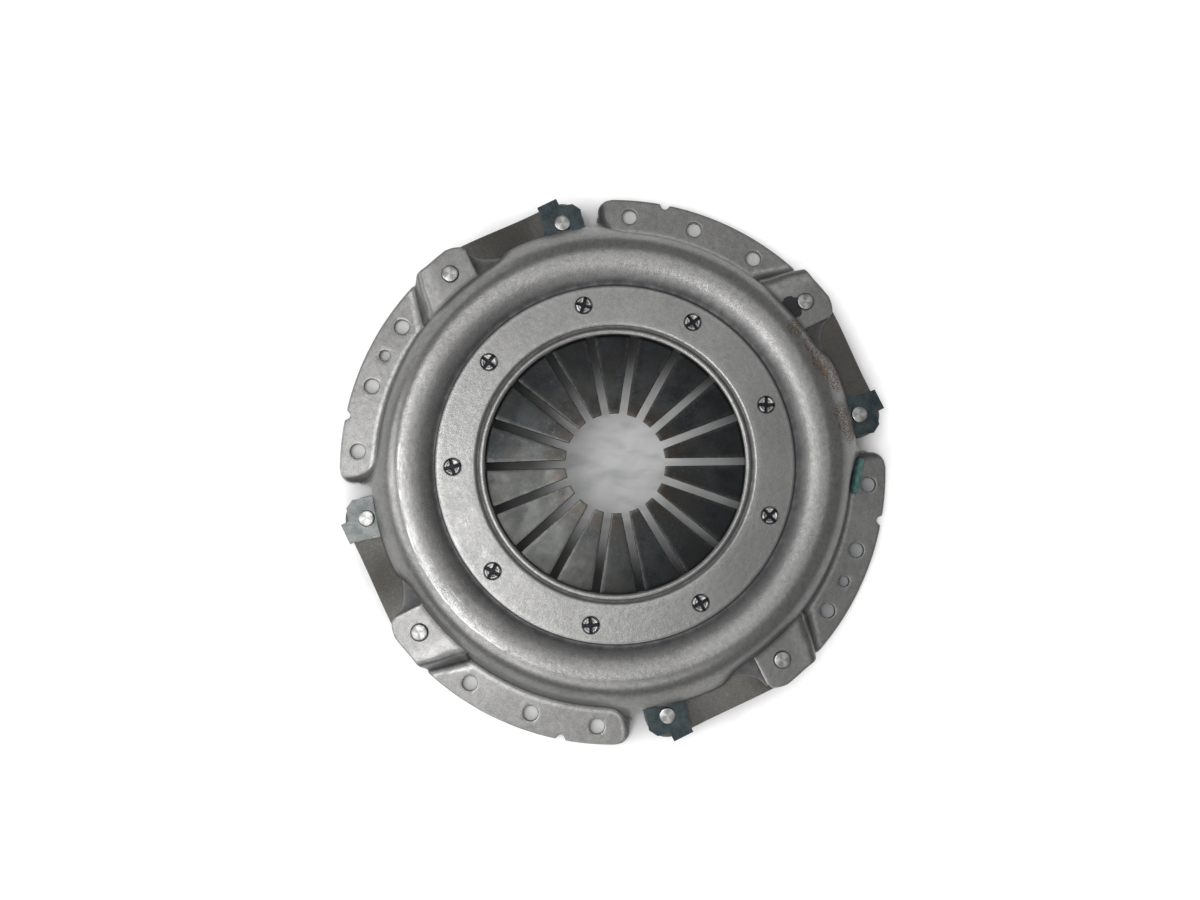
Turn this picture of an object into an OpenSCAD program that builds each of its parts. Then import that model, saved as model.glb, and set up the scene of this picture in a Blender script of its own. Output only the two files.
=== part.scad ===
// Diaphragm-spring clutch cover assembly: the pressed cover that bolts to a flywheel,
// with its spring, fulcrum rings, pressure plate, drive straps and retracting clips.
// +Z points to the release bearing; z = 0 is the face of the flange on the flywheel.
// +X runs through the middle bolt hole of one of the four flange segments.
// The model is drawn free, as the cover is before it is bolted down.

/* [Cover] */
// Outside diameter of the mounting flange
flange_d = 316; // [308:1:324]
// Angle from the middle of a flange segment to its ends
flange_half = 21.5; // [20.5:0.5:22]
// Thickness of the cover sheet
sheet_t = 4.5; // [3.5:0.1:5]
// Distance from the edge of the flange in to the wall under the crown
wall_in = 21.5; // [20:0.5:23]
// Height of the flat ring that carries the fulcrum rivets
ring_h = 42.5; // [42:0.1:44]
// Width from that flat ring out to the top of the crown
rise_w = 18.7; // [18:0.1:19]
// Depth of the groove between the flat ring and the crown
ring_step = 1.2; // [0.6:0.1:1.6]
// Width of the flat ring, from the opening over the spring fingers to the groove
ring_w = 27.6; // [26:0.1:29]
// Width of the bright lip round the opening
lip_w = 4.2; // [3:0.1:5]
// Height of the top of the crown
crown_h = 46; // [45:0.5:49]
// Width from the top of the crown out to the face of the wall
crown_w = 18.5; // [17.5:0.5:20]
// Height at which the crown turns into the straight wall
shoulder_h = 29; // [28.5:0.5:30]
// Height of the edge of the windows over the lugs
window_h = 26.5; // [26:0.1:27.5]
// Radius inside the bend between the wall and the flange
bend_r = 5; // [3:0.5:6]
// Height of the top of the strap pads
pad_h = 28; // [27.5:0.1:29]
// Distance from the edge of the flange in to the edge of the strap pads
pad_in = 2.5; // [0:0.5:4]
// Length of a strap pad from its rivet to its open edge
pad_front = 14; // [11:0.5:16]
// Length of a strap pad from its rivet to the top of its ramp
pad_back = 12; // [11.5:0.1:13]
// Length of the ramp from the pad down to the flange
ramp_run = 9.3; // [7:0.1:11]
// Angle of the ramp from square across the strap
ramp_skew = 21; // [15:1:26]
// Radius of the notch in the edge of each flange segment
notch_r = 3; // [2:0.1:4]

/* [Bolts and dowels] */
// Distance from the edge of the flange in to the circle of bolt holes
bolt_in = 10; // [9:0.25:11]
// Diameter of the bolt holes
bolt_hole_d = 8.5; // [8:0.1:10]
// Angle between the bolt holes of one segment
bolt_pitch = 15; // [13:0.5:16]
// Diameter of the dowel holes
dowel_hole_d = 6.1; // [5:0.1:7]
// Angle of the dowel hole from the middle bolt hole
dowel_angle = -7.5; // [-8:0.5:-7]

/* [Diaphragm spring] */
// Thickness of the spring
spring_t = 2.8; // [2.4:0.1:3.2]
// Distance that the rim of the spring reaches past the middle of the ridge
rim_over = 3.5; // [2:0.5:4]
// Diameter of the circle that the finger tips lie on
tip_d = 55; // [48:1:64]
// Cone angle of the spring when it is not clamped
cone = 12.5; // [10.5:0.5:13]
// Angle of the fingers inside the eyes, which are set a little flatter
finger_angle = 7.5; // [7:0.5:8]
// Number of fingers
fingers = 18; // [18:2:18]
// Width of the slots between the fingers
slot_w = 4.3; // [3:0.1:5.5]
// Width of the eyes at the outer ends of the slots
eye_w = 13; // [12:0.5:15]
// Length of those eyes along the radius
eye_l = 11.6; // [10.6:0.1:12]

/* [Fulcrum] */
// Distance from the edge of the flat ring in to the circle of fulcrum rivets
rivet_in = 9.6; // [9.3:0.1:10]
// Diameter of the shoulder of a fulcrum rivet, between the two rings
fulcrum_rivet_d = 8; // [7:0.1:8.2]
// Diameter of the head under the cover
fulcrum_head_d = 16; // [15:0.2:17]
// Diameter of the formed head on the flat ring
fulcrum_top_d = 9.6; // [9:0.1:10.6]
// Diameter of the wire of the fulcrum rings
wire_d = 4; // [3.6:0.1:4.4]
// Distance from the edge of the flat ring in to the centreline of the fulcrum rings
wire_in = 3.3; // [2.8:0.1:3.3]

/* [Pressure plate] */
// Room between the rim of the plate and the wall of the cover
plate_room = 5; // [4:0.5:7]
// Width of the friction face
face_w = 49; // [45:1:52]
// Height of the friction face over the flange when nothing is clamped
plate_z = 5; // [4:0.1:5.2]
// Thickness of the plate inside the ridge
plate_t = 13; // [11:0.5:13.5]
// Distance from the rim of the plate in to the middle of the ridge for the spring
ridge_in = 9; // [8.5:0.5:10]
// Width of the ridge
ridge_w = 9; // [7:0.5:10]
// Number of air gaps in the ridge
ridge_gaps = 16; // [8:4:20]
// Width of an air gap
ridge_gap_w = 7; // [4:0.5:10]
// Height of the seat of the straps on a lug
lug_h = 15; // [14.5:0.1:15.5]
// Thickness of a lug
lug_t = 8.5; // [7:0.5:9]
// Width of a lug
lug_w = 25; // [23:0.5:26]

/* [Straps] */
// Distance from the edge of the flange in to the circle of strap rivets
strap_in = 15; // [14:0.25:15.5]
// Angle from the middle of a flange segment to the rivets on its two sides
strap_angle = 30.65; // [30.2:0.05:31]
// Width of a drive strap
strap_w = 25; // [22:0.5:26]
// Radius of the end of a strap under its pad, where the ramp leaves little room
pad_end_r = 8.5; // [7:0.1:8.5]
// Radius of the end of a strap on its lug
lug_end_r = 11.5; // [9:0.1:11.5]
// Thickness of one leaf
leaf_t = 0.9; // [0.8:0.05:1]
// Diameter of the shank of a strap rivet
strap_rivet_d = 7; // [6:0.1:7.6]
// Diameter of the ends of a strap rivet
strap_head_d = 9.4; // [8.8:0.1:10]
// Height of the ends of a strap rivet
strap_head_t = 1.2; // [0.8:0.1:1.4]

/* [Retracting clips] */
// Thickness of a clip
clip_t = 2; // [1.6:0.1:2.2]
// Width of the foot of a clip on its lug
clip_w = 23.6; // [20:0.2:25]
// Width of the tongue that reaches over the spring
tongue_w = 14; // [10:0.5:18]
// Length from a rivet to the outer edge of the foot
clip_reach = 10; // [8:0.5:11]
// Length of the tab that folds down over the edge of the straps
tab_w = 12; // [8:0.5:14]

/* [Hidden] */
LEAVES = ["lower", "middle", "upper"];
$fn = 96;

// Room left between pieces that touch on the real part: still ones, and ones that move
seat_gap = 0.05;
run_gap = 0.3;
// More than any cut needs
over = 1;

quarter = 90;
flange_r = flange_d / 2;
bolt_r = flange_r - bolt_in;
strap_r = flange_r - strap_in;
pad_r = flange_r - pad_in;
wall_r = flange_r - wall_in;
crown_r = wall_r - crown_w;
ring_r = crown_r - rise_w;
opening_r = ring_r - ring_w;
rivet_r = ring_r - rivet_in;
fulcrum_r = ring_r - wire_in;
plate_r = wall_r - sheet_t - plate_room;
bore_r = plate_r - face_w;
ridge_r = plate_r - ridge_in;
rim_r = ridge_r + rim_over;
ring_under = ring_h - sheet_t;
lip_drop = 0.3;
lip_round = 1.5;
lip_groove_w = 1.4;
lip_groove = 0.9;
// The sheet is coined thinner under the lip, so that the fingers pass it
lip_thin = 0.8;
lip_thin_w = 5;

// A strap lies square to the radius halfway between its two rivets
strap_span = 2 * strap_r * sin(quarter / 2 - strap_angle);
strap_stack = 3 * leaf_t;
pad_under = pad_h - sheet_t;
strap_rise = pad_under - strap_stack - lug_h;

// The spring turns about a circle halfway between the two fulcrum rings
ring_lift = ((wire_d + spring_t) / 2 + seat_gap) / cos(cone);
upper_ring_z = ring_under - wire_d / 2 - seat_gap;
fulcrum_z = upper_ring_z - ring_lift;
lower_ring_z = fulcrum_z - ring_lift;
spring_half = spring_t / 2 / cos(cone);
finger_bend_r = fulcrum_r - 8;
function spring_z(r) = fulcrum_z + (fulcrum_r - max(r, finger_bend_r)) * tan(cone)
    + max(0, finger_bend_r - r) * tan(finger_angle);
slots = fingers;
first_slot = 180 / fingers;
fulcrum_rivets = 9;
fulcrum_head_t = 2.4;
fulcrum_head_z = lower_ring_z - wire_d / 2 - seat_gap;
fulcrum_shank_d = 6;

ridge_top = spring_z(ridge_r + ridge_w / 4) - spring_half - run_gap;
clip_foot_z = lug_h + strap_stack;
clip_under = spring_z(ridge_r - 3) + spring_half + run_gap;

function polar(r, a) = [r * cos(a), r * sin(a)];
function arc(c, r, a0, a1, n = 8) = [for (i = [0:n]) c + polar(r, a0 + (a1 - a0) * i / n)];
function reversed(p) = [for (i = [len(p) - 1:-1:0]) p[i]];

// Copies something to the four quarters of the cover
module quarters() for (i = [0:3]) rotate([0, 0, i * quarter]) children();

// Moves something from the rivet of a strap to its place, with x along the strap to the pad
module at_pad() rotate([0, 0, -strap_angle]) translate([strap_r, 0, 0])
    rotate([0, 0, quarter / 2 + strap_angle]) children();
module at_lug(i) rotate([0, 0, (i - 1) * quarter + strap_angle])
    translate([strap_r, 0, 0]) children();

// The sheet from the lip of the opening to the edge of the flange, as half a section
module cover_section() {
    rise_start = ring_r + 1.6;
    low = ring_h - ring_step;
    side = wall_r - crown_r;
    height = crown_h - shoulder_h;
    lip_end = opening_r + lip_w;
    // the rise bows up to the crown as part of an ellipse, steep at its foot
    rise_bow = (crown_h - low) / (1 - sqrt(1 - pow((crown_r - rise_start) / rise_w, 2)));
    rise = [for (i = [0:10]) let (x = (crown_r - rise_start) * (1 - i / 10))
            [crown_r - x, crown_h - rise_bow * (1 - sqrt(1 - pow(x / rise_w, 2)))]];
    bend = [wall_r + bend_r, sheet_t + bend_r];
    top = concat(
        arc([opening_r + lip_round, ring_h - lip_drop - lip_round], lip_round, 180, 90, 5),
        [[lip_end - 0.3, ring_h - lip_drop], [lip_end, ring_h - lip_groove],
         [lip_end + lip_groove_w, ring_h - lip_groove], [lip_end + lip_groove_w + 0.3, ring_h],
         [ring_r, ring_h], [ring_r + 0.5, low]],
        rise,
        [for (a = [9:9:90]) [crown_r + side * sin(a), shoulder_h + height * cos(a)]],
        arc(bend, bend_r, 180, 270), [[flange_r, sheet_t]]);
    under = concat(
        [[flange_r, 0]], arc(bend, bend_r + sheet_t, 270, 180, 10),
        [for (a = [90:-9:0]) [crown_r + (side - sheet_t) * sin(a),
                              shoulder_h + (height - sheet_t) * cos(a)]],
        [for (p = reversed(rise)) if (p.x < crown_r) p - [0, sheet_t]],
        [[ring_r + 0.5, ring_under], [opening_r + lip_thin_w, ring_under],
         [opening_r, ring_under + lip_thin]]);
    polygon(concat(top, under));
}

// What is cut from the wall and flange over a lug, from one segment to the next, in plan
module window_plan() {
    corner = 6;
    corner_a = flange_half - asin(corner / (flange_r - corner));
    inside_r = wall_r - 2 * sheet_t;
    far = flange_r + 2 * corner;
    polygon(concat([polar(inside_r, flange_half + 2), polar(wall_r + bend_r, flange_half)],
                   arc(polar(flange_r - corner, corner_a), corner, flange_half + 90, corner_a, 8),
                   [polar(far, corner_a), polar(far + 20, quarter / 2),
                    polar(far, quarter - flange_half), polar(inside_r, quarter - flange_half)]));
}

// The pad, its ramp and the start of the flange, as the bent sheet is seen from its end
module pad_section() {
    slope = atan((pad_h - sheet_t) / ramp_run);
    round_top = 6.5;
    round_foot = 4;
    top_c = [pad_back - round_top * tan(slope / 2), pad_h - round_top];
    foot_c = [pad_back + ramp_run + round_foot * tan(slope / 2), sheet_t + round_foot];
    polygon(concat([[-strap_w, pad_h]], arc(top_c, round_top, 90, 90 - slope),
                   arc(foot_c, round_foot, 270 - slope, 270),
                   [[pad_back + ramp_run + strap_w / 2, sheet_t],
                    [pad_back + ramp_run + strap_w / 2, 0]],
                   arc(foot_c, round_foot + sheet_t, 270, 270 - slope),
                   arc(top_c, round_top - sheet_t, 90 - slope, 90),
                   [[-strap_w, pad_under]]));
}

// The pads hang on the wall, so they start inside it
module pad() {
    reach = 40;
    corner = 5;
    intersection() {
        at_pad() rotate([0, 0, -ramp_skew]) rotate([90, 0, 0]) translate([0, 0, -reach])
            linear_extrude(2 * reach) pad_section();
        at_pad() translate([0, 0, -over]) linear_extrude(crown_h)
            polygon(concat([[-pad_front, reach / 2]],
                           arc([corner - pad_front, corner - 11], corner, 180, 240, 4),
                           [[0, -18], [reach, -reach / 2], [reach, reach / 2]]));
        rotate([0, 0, -quarter / 2]) rotate_extrude(angle = quarter / 2 - flange_half + 6)
            translate([wall_r - sheet_t / 2, 0]) square([pad_r - wall_r + sheet_t / 2, crown_h]);
    }
}

module cover() color("gray") difference() {
    union() {
        difference() {
            rotate_extrude() cover_section();
            quarters() translate([0, 0, -over]) linear_extrude(window_h + over) window_plan();
        }
        quarters() pad();
    }
    quarters() {
        for (a = [-1:1]) rotate([0, 0, a * bolt_pitch]) translate([bolt_r, 0, -over])
            cylinder(d = bolt_hole_d, h = sheet_t + 2 * over);
        rotate([0, 0, 6.3]) translate([flange_r, 0, -over]) cylinder(r = notch_r, h = sheet_t + 2 * over);
        at_pad() translate([0, 0, pad_under - over])
            cylinder(d = strap_rivet_d, h = sheet_t + 2 * over);
    }
    for (a = [quarter, -quarter]) rotate([0, 0, a + dowel_angle])
        translate([bolt_r, 0, -over]) cylinder(d = dowel_hole_d, h = sheet_t + 2 * over);
    for (i = [1:fulcrum_rivets]) at_fulcrum_rivet(i) translate([0, 0, ring_under - over])
        cylinder(d = fulcrum_shank_d, h = sheet_t + 2 * over);
}

// Every second slot of the spring has a rivet in its eye; one of them lies on -Y
module at_fulcrum_rivet(i) rotate([0, 0, -quarter + i * 360 / fulcrum_rivets])
    translate([rivet_r, 0, 0]) children();

// A slot from the middle of the spring to its eye, which has round corners
module finger_slot() {
    eye_r = 3;
    eye_x = rivet_r - eye_l / 2;
    linear_extrude(crown_h + over) {
        translate([0, -slot_w / 2]) square([eye_x + over, slot_w]);
        translate([eye_x, -eye_w / 2 + eye_r]) square([eye_l, eye_w - 2 * eye_r]);
        translate([eye_x + eye_r, -eye_w / 2]) square([eye_l - 2 * eye_r, eye_w]);
        for (x = [eye_r, eye_l - eye_r], y = [-1, 1])
            translate([eye_x + x, y * (eye_w / 2 - eye_r)]) circle(r = eye_r);
    }
}

module diaphragm_spring() color("dimgray") difference() {
    tip_r = tip_d / 2;
    line = [for (r = [tip_r, finger_bend_r, rim_r]) [r, spring_z(r)]];
    rotate_extrude() polygon(concat([for (p = line) p - [0, spring_half]],
                                    [for (p = reversed(line)) p + [0, spring_half]]));
    for (i = [0:slots - 1]) rotate([0, 0, first_slot + i * 360 / slots]) finger_slot();
}

module fulcrum_ring(z) color("darkgray") rotate_extrude()
    translate([fulcrum_r, z]) circle(d = wire_d, $fn = 48);

// A shouldered rivet: wide head under the lower ring, shoulder, shank and formed head
module fulcrum_rivet(i) color("silver") at_fulcrum_rivet(i) {
    translate([0, 0, fulcrum_head_z - fulcrum_head_t]) cylinder(d = fulcrum_head_d, h = fulcrum_head_t);
    translate([0, 0, fulcrum_head_z - over / 2])
        cylinder(d = fulcrum_rivet_d, h = ring_under - fulcrum_head_z + over / 2);
    translate([0, 0, ring_under - over / 2]) cylinder(d = fulcrum_shank_d, h = sheet_t + over);
    translate([0, 0, ring_h]) cylinder(d = fulcrum_top_d, h = 1.1);
}

// Half a section of the cast plate, with the ridge under the rim of the spring
module plate_section() {
    edge = 1;
    top = plate_z + plate_t;
    polygon([[bore_r, plate_z], [plate_r - edge, plate_z],
             [plate_r, plate_z + edge], [plate_r, lug_h - edge],
             [plate_r - edge, lug_h], [ridge_r + ridge_w / 2 + 1.5, lug_h],
             [ridge_r + ridge_w / 2, lug_h + 2.4], [ridge_r + ridge_w / 2, ridge_top - 1],
             [ridge_r + ridge_w / 4, ridge_top], [ridge_r - ridge_w / 4, ridge_top],
             [ridge_r - ridge_w / 2, ridge_top - 1], [ridge_r - ridge_w / 2 - 4, top],
             [bore_r + edge, top], [bore_r, top - edge]]);
}

module pressure_plate() color("dimgray") difference() {
    union() {
        rotate_extrude() plate_section();
        for (i = [1:4]) at_lug(i) translate([0, 0, lug_h - lug_t]) {
            cylinder(d = lug_w, h = lug_t);
            translate([-strap_r + ridge_r + ridge_w / 2, -lug_w / 2, 0])
                cube([strap_r - ridge_r - ridge_w / 2, lug_w, lug_t]);
        }
    }
    gap_z = plate_z + plate_t - 0.7;
    for (i = [0:ridge_gaps - 1]) rotate([0, 0, (i + 0.5) * 360 / ridge_gaps])
        translate([ridge_r - ridge_w / 2 - 6, -ridge_gap_w / 2, gap_z])
            cube([ridge_w + 9, ridge_gap_w, crown_h]);
    for (i = [1:4]) at_lug(i) {
        cylinder(d = strap_rivet_d, h = lug_h + over);
        cylinder(d = strap_head_d, h = lug_h - lug_t + strap_head_t);
    }
}

// A strap in plan: a wide middle, a full round end on the lug and a narrow one under the pad
module strap_plan() {
    half = strap_w / 2;
    pad_shoulder = 8;
    lug_shoulder = 3;
    polygon(concat(arc([strap_span, 0], pad_end_r, -60, 60),
                   [[strap_span - pad_shoulder, half], [lug_shoulder, half]],
                   arc([0, 0], lug_end_r, 110, 250, 12),
                   [[lug_shoulder, -half], [strap_span - pad_shoulder, -half]]));
}

// One leaf: flat on the lug and under the pad, with an easy double bend between
module leaf(z) {
    flat = 14.2;
    length = strap_span - 2 * flat;
    steps = 12;
    line = concat([[-strap_w, z]],
                  [for (i = [0:steps]) let (s = i / steps)
                   [flat + length * s, z + strap_rise * s * s * (3 - 2 * s)]],
                  [[strap_span + strap_w, z + strap_rise]]);
    difference() {
        intersection() {
            rotate([90, 0, 0]) translate([0, 0, -strap_w])
                linear_extrude(2 * strap_w) polygon(concat(line, [for (p = reversed(line)) p + [0, leaf_t]]));
            linear_extrude(crown_h) strap_plan();
        }
        for (x = [0, strap_span]) translate([x, 0, 0]) cylinder(d = strap_rivet_d, h = crown_h);
    }
}

// Straps are numbered with the lug that they pull on
module drive_strap(i, k) color("slategray") at_lug(i)
    rotate([0, 0, quarter - strap_angle + quarter / 2]) leaf(lug_h + k * leaf_t);

module cover_strap_rivet(i) color("silver") rotate([0, 0, i * quarter]) at_pad() {
    low = pad_under - strap_stack;
    translate([0, 0, low - strap_head_t]) cylinder(d = strap_head_d, h = strap_head_t);
    translate([0, 0, low - over / 2]) cylinder(d = strap_rivet_d, h = pad_h - low + over);
    translate([0, 0, pad_h]) cylinder(d = strap_head_d, h = strap_head_t);
}

module lug_rivet(i) color("silver") at_lug(i) {
    low = lug_h - lug_t;
    top = clip_foot_z + clip_t;
    translate([0, 0, low]) cylinder(d = strap_head_d, h = strap_head_t);
    translate([0, 0, low + strap_head_t / 2]) cylinder(d = strap_rivet_d, h = top - low);
    translate([0, 0, top]) cylinder(d = strap_head_d, h = strap_head_t);
}

// A clip from the side: foot on the straps, rise beside the ridge, tongue over the spring
module clip_section(foot_end) {
    knee = wall_r - sheet_t - 3;
    rise_x = ridge_r + ridge_w / 2 + 3;
    tip = ridge_r - 2;
    z0 = clip_foot_z;
    polygon([[foot_end, z0], [foot_end, z0 + clip_t], [knee + 1, z0 + clip_t],
             [rise_x + clip_t, clip_under], [rise_x + clip_t / 2, clip_under + clip_t],
             [tip, clip_under + clip_t], [tip, clip_under], [rise_x, clip_under],
             [knee - 0.5, z0]]);
}

// The foot is square to the radius, and its tab follows the outer edge of the straps
module retracting_clip(i) color("darkslategray") at_lug(i) difference() {
    foot_start = wall_r - sheet_t - 4 - strap_r;
    chamfer = 4;
    half = clip_w / 2;
    tab_start = -3;
    edge = strap_w / 2 + seat_gap;
    union() {
        translate([-strap_r, tongue_w / 2, 0]) rotate([90, 0, 0])
            linear_extrude(tongue_w) clip_section(strap_r);
        translate([0, 0, clip_foot_z]) linear_extrude(clip_t)
            polygon([[foot_start, -tongue_w / 2], [foot_start + chamfer, -half],
                     [clip_reach - chamfer, -half], [clip_reach, chamfer - half],
                     [clip_reach, half], [foot_start + chamfer, half],
                     [foot_start, tongue_w / 2]]);
        rotate([0, 0, quarter / 2 - strap_angle]) {
            translate([0, tab_start, clip_foot_z]) cube([edge + clip_t, tab_w, clip_t]);
            translate([edge, tab_start, lug_h + run_gap]) cube([clip_t, tab_w, strap_stack + clip_t - run_gap]);
        }
    }
    cylinder(d = strap_rivet_d, h = crown_h);
}

cover();
pressure_plate();
diaphragm_spring();
fulcrum_ring(upper_ring_z);  // fulcrum_ring_upper
fulcrum_ring(lower_ring_z);  // fulcrum_ring_lower
for (i = [1:9]) fulcrum_rivet(i);
for (i = [1:4]) {
    cover_strap_rivet(i);
    lug_rivet(i);
    retracting_clip(i);
    for (k = [0:2]) drive_strap(i, k);
}
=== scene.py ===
"""Dresses the pressed clutch cover with its spring, plate, straps and clips.

Lengths are millimetres until a mesh is made; places read by a shader are in metres. Angles
are degrees. The frame is the solids' own: +Z to the release bearing, z = 0 on the flywheel
face of the flange, +X through the middle bolt hole of one flange segment.
"""
import math
from functools import reduce

import bpy
import numpy as np
from mathutils import Matrix


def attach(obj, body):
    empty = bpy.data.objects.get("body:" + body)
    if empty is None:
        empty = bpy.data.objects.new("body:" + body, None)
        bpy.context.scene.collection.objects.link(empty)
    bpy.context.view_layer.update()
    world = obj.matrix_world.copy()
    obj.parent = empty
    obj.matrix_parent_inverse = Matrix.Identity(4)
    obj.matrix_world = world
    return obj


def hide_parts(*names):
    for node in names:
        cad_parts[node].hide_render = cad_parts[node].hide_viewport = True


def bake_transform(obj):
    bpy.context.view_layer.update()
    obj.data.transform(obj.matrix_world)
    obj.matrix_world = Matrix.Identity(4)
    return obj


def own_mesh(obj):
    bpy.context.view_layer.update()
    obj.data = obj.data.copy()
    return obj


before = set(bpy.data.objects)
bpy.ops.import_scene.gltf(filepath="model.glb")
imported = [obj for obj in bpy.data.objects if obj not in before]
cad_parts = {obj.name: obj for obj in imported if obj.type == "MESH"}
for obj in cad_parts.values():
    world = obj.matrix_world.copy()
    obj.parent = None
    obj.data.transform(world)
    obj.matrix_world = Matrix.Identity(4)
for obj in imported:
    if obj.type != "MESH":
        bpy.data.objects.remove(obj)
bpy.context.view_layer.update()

METRES = 0.001

# Sizes of the solids that the new surfaces keep to
SHEET = 4.5
FLANGE_R, BOLT_R, PAD_R, STRAP_R, WALL_R = 158.0, 148.0, 155.5, 143.0, 136.5
CROWN_R, CROWN_H, SHOULDER_H, WINDOW_H = 118.0, 46.0, 29.0, 26.5
RING_R, RING_H, RING_UNDER, OPENING_R = 99.3, 42.5, 38.0, 71.7
LIP_THIN, LIP_THIN_W = 0.8, 5.0
GROOVE_FLOOR, RISE_START = 41.3, 100.9
FLANGE_HALF, STRAP_ANGLE = 21.5, 30.65
BOLT_HOLE, DOWEL_HOLE, NOTCH = 4.25, 3.05, 3.0
BOLT_PITCH, DOWEL_ANGLE, NOTCH_ANGLE = 15.0, -7.5, 7.6
PAD_H = 28.0
BEND = 5.0
FINGERS, TIP_R, RIM_R, SLOT_HALF = 18, 27.5, 121.5, 2.15
EYE_IN, EYE_OUT, EYE_HALF, EYE_ROUND = 83.9, 95.5, 6.5, 3.0
FULCRUM_R, FULCRUM_Z, FINGER_BEND_R = 96.0, 32.416, 88.0
CONE, FINGER_CONE, SPRING_HALF = 12.5, 7.5, 1.434
RIVET_R, RIVETS = 89.7, 9
RIVET_TURNS = (17, 52, 3, 71, 35, 80, 24, 48, 62)
LUG_TOP, PAD_UNDER, LEAF_FLAT = 15.0, 23.5, 14.2

# Circles of rivets: radius, first angle, how many
RING_CENTRES = (RIVET_R, -90.0, RIVETS)
LUG_CENTRES, PAD_CENTRES = (STRAP_R, STRAP_ANGLE, 4), (STRAP_R, -STRAP_ANGLE, 4)

# How the pressing departs a little from the plain solid, as the photograph shows it
DRAW_IN, WALL_LEAN, WALL_THIN, FOOT_BEND, FOOT_H = 4.6, 3.9, 0.4, 2.2, 9.5
RAMP_TURN = 60.65
PAD_LEVEL, PAD_ROUND, RAMP_SLOPE, RAMP_FOOT, RAMP_END = 17.3, 3.0, 82.0, 2.0, 25.2
FOLD_R, FOLD_ANGLE, FOLD_ROUND, END_ROUND, FLARE = 137.8, 20.4, 12.0, 8.5, 7.0


# Small shapes in numbers

def ease(x):
    """0 below 0, 1 above 1, and 3x^2 - 2x^3 between, which starts and ends level."""
    x = np.clip(x, 0.0, 1.0)
    return x * x * (3.0 - 2.0 * x)


def bell(x, middle, width):
    """exp(-((x - middle) / width)^2): 1 at the middle, near 0 two widths away."""
    return np.exp(-((x - middle) / width) ** 2)


def arc(centre, radius, start, end, steps):
    """Points of a circular arc, as an array of (x, y), both ends included."""
    a = np.radians(np.linspace(start, end, steps + 1))
    return np.stack([centre[0] + radius * np.cos(a), centre[1] + radius * np.sin(a)], 1)


def polar(r, degrees):
    """The x, y of one place on a circle of radius r about the axis."""
    return r * np.array([math.cos(math.radians(degrees)), math.sin(math.radians(degrees))])


def round_about(r, angle, z):
    """Cylinder coordinates (r, angle in degrees, z) as x, y, z in the last axis."""
    a = np.radians(angle)
    r, a, z = np.broadcast_arrays(r, a, z)
    return np.stack([r * np.cos(a), r * np.sin(a), z], -1)


def in_steps(*spans):
    """Angles from spans of (start, end, cells), each span's start kept and its end left."""
    return np.concatenate([np.linspace(a, b, n + 1)[:-1] for a, b, n in spans])


# Meshes

def placed(name, data, turn=None, spot=None):
    """A new object in the scene; turn is a 3 x 3 rotation and spot a place in metres."""
    thing = bpy.data.objects.new(name, data)
    bpy.context.scene.collection.objects.link(thing)
    if turn is not None:
        grid = np.eye(4)
        grid[:3, :3], grid[:3, 3] = turn, spot
        thing.matrix_world = Matrix(grid.tolist())
    return thing


def make_piece(name, finish, body, points, faces, marks=None, sharp=None):
    """A mesh from points in millimetres, faces, and marks: named numbers, one a point."""
    mesh = bpy.data.meshes.new(name)
    faces = faces if isinstance(faces, list) else faces.tolist()
    mesh.from_pydata((np.asarray(points) * METRES).tolist(), [], faces)
    mesh.shade_smooth()
    if sharp:
        mesh.set_sharp_from_angle(angle=math.radians(sharp))
    for key, values in (marks or {}).items():
        mark = mesh.attributes.new(key, "FLOAT", "POINT")
        mark.data.foreach_set("value", np.asarray(values, np.float32))
    mesh.materials.append(finish)
    piece = placed(name, mesh)
    if body:
        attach(piece, body)
    return piece


def grid_faces(rows, columns, closed):
    """Quads of a grid whose points run row by row; closed joins the last column to the first."""
    i = np.arange(rows - 1)[:, None]
    j = np.arange(columns if closed else columns - 1)[None, :]
    k = (j + 1) % columns
    return np.stack([i * columns + j, (i + 1) * columns + j, (i + 1) * columns + k,
                     i * columns + k], -1).reshape(-1, 4)


def quarter_turns(points):
    """The points and their copies, each a quarter turn further round the axis."""
    return [points @ np.array([[c, n, 0], [-n, c, 0], [0, 0, 1.0]])
            for c, n in ((1, 0), (0, 1), (-1, 0), (0, -1))]


def unit(v):
    """Each vector divided by its length."""
    return v / np.maximum(np.linalg.norm(v, axis=-1, keepdims=True), 1e-12)


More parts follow.
